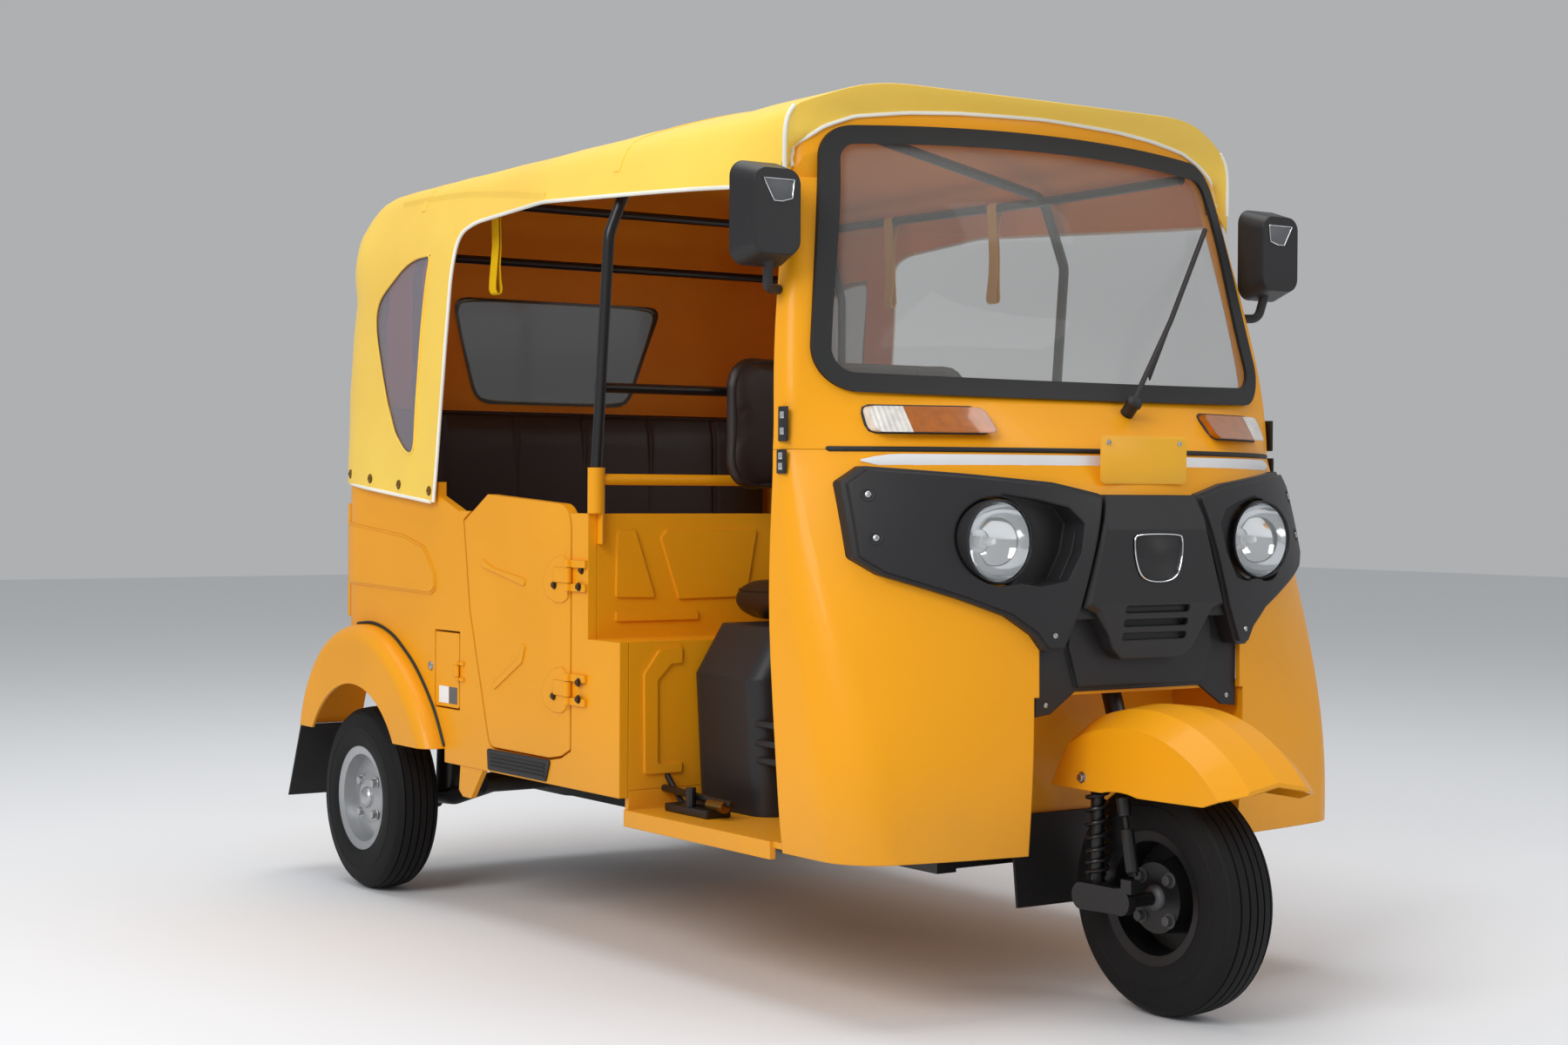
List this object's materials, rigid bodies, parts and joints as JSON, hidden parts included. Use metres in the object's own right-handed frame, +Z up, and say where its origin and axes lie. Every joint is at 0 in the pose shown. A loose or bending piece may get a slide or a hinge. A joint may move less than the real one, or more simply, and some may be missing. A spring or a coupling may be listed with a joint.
{
  "type": "auto rickshaw",
  "caption": "Three-wheeled passenger rickshaw: open cab behind a large windscreen, half doors, fabric canopy on hoops, steered single front wheel and sprung rear axle.",
  "frame": {"origin": "on the ground in the middle of the vehicle's overall box", "axes": "+Z up; the vehicle faces -Y; +X is the vehicle's left side"},
  "size_m": [1.348, 2.633, 1.7018],
  "materials": {
    "yellow_paint": "gloss",
    "canopy_cloth": "vinyl coated",
    "black_plastic": "grained",
    "black_paint": "satin",
    "rubber": "matte",
    "tyre_rubber": "matte",
    "screen_glass": "clear",
    "window_vinyl": "clear vinyl",
    "lamp_lens": "clear",
    "amber_lens": "gloss",
    "red_lens": "gloss",
    "seat_leather": "satin",
    "steel": "satin",
    "rim_silver": "satin",
    "strap_webbing": "woven",
    "cast_metal": "cast"
  },
  "bodies": {
    "root": {"bench_backrest": "seat_leather", "bench_cushion": "seat_leather", "canopy": "canopy_cloth", "canopy_frame": "black_paint", "canopy_windows": "window_vinyl", "chassis_frame": "black_paint", "dashboard": "black_plastic", "door_hinges": "yellow_paint", "driver_backrest": "seat_leather", "driver_cushion": "seat_leather", "engine_block": "cast_metal", "fascia_base": "black_plastic", "fascia_centre": "black_plastic", "fascia_wings": "black_plastic", "floor_pan": "yellow_paint", "foot_controls": "black_paint", "front_flap": "rubber", "hand_straps": "strap_webbing", "headlamps": "lamp_lens", "lower_cowl": "yellow_paint", "mirrors": "black_plastic", "mudflaps": "rubber", "partition": "yellow_paint", "rear_body": "yellow_paint", "rear_fenders": "yellow_paint", "rear_suspension": "black_paint", "seat_pedestal": "black_plastic", "silencer": "steel", "step_plates": "black_plastic", "tail_lamps": "red_lens", "turn_signals": "amber_lens", "windscreen_frame": "yellow_paint", "windscreen_gasket": "rubber", "windscreen_glass": "screen_glass", "wiper": "black_paint"},
    "steering": {"front_fork": "black_paint", "front_link": "black_paint", "front_suspension": "black_paint", "front_mudguard": "yellow_paint", "handlebar": "black_paint"},
    "front_wheel": {"front_tyre": "tyre_rubber", "front_rim": "black_paint"},
    "rear_wheel_right": {"rear_right_tyre": "tyre_rubber", "rear_right_rim": "rim_silver"},
    "rear_wheel_left": {"rear_left_tyre": "tyre_rubber", "rear_left_rim": "rim_silver"},
    "door_right_body": {"door_right": "yellow_paint"},
    "door_left_body": {"door_left": "yellow_paint"},
    "engine_lid_body": {"engine_lid": "yellow_paint"},
    "fuel_lid_body": {"fuel_lid": "yellow_paint"}
  },
  "joints": [
    {"name": "steering", "type": "hinge", "parent": "root", "child": "steering", "pos_m": [0, -1.105, 0], "axis": [0, 0.342, 0.9397], "range_deg": [-40, 40]},
    {"name": "front_wheel_spin", "type": "hinge", "parent": "steering", "child": "front_wheel", "pos_m": [0, -1.065, 0.2075], "axis": [1, 0, 0], "continuous": true},
    {"name": "rear_right_spin", "type": "hinge", "parent": "root", "child": "rear_wheel_right", "pos_m": [-0.575, 0.935, 0.2075], "axis": [1, 0, 0], "continuous": true},
    {"name": "rear_left_spin", "type": "hinge", "parent": "root", "child": "rear_wheel_left", "pos_m": [0.575, 0.935, 0.2075], "axis": [1, 0, 0], "continuous": true},
    {"name": "door_right_hinge", "type": "hinge", "parent": "root", "child": "door_right_body", "pos_m": [-0.608, 0.0115, 0.6], "axis": [0, 0, 1], "range_deg": [0, 95]},
    {"name": "door_left_hinge", "type": "hinge", "parent": "root", "child": "door_left_body", "pos_m": [0.608, 0.0115, 0.6], "axis": [0, 0, -1], "range_deg": [0, 95]},
    {"name": "engine_lid_hinge", "type": "hinge", "parent": "root", "child": "engine_lid_body", "pos_m": [0, 1.172, 0.698], "axis": [1, 0, 0], "range_deg": [0, 100]},
    {"name": "fuel_lid_hinge", "type": "hinge", "parent": "root", "child": "fuel_lid_body", "pos_m": [-0.605, 0.493, 0.5245], "axis": [0, 0, 1], "range_deg": [0, 110]}
  ]
}
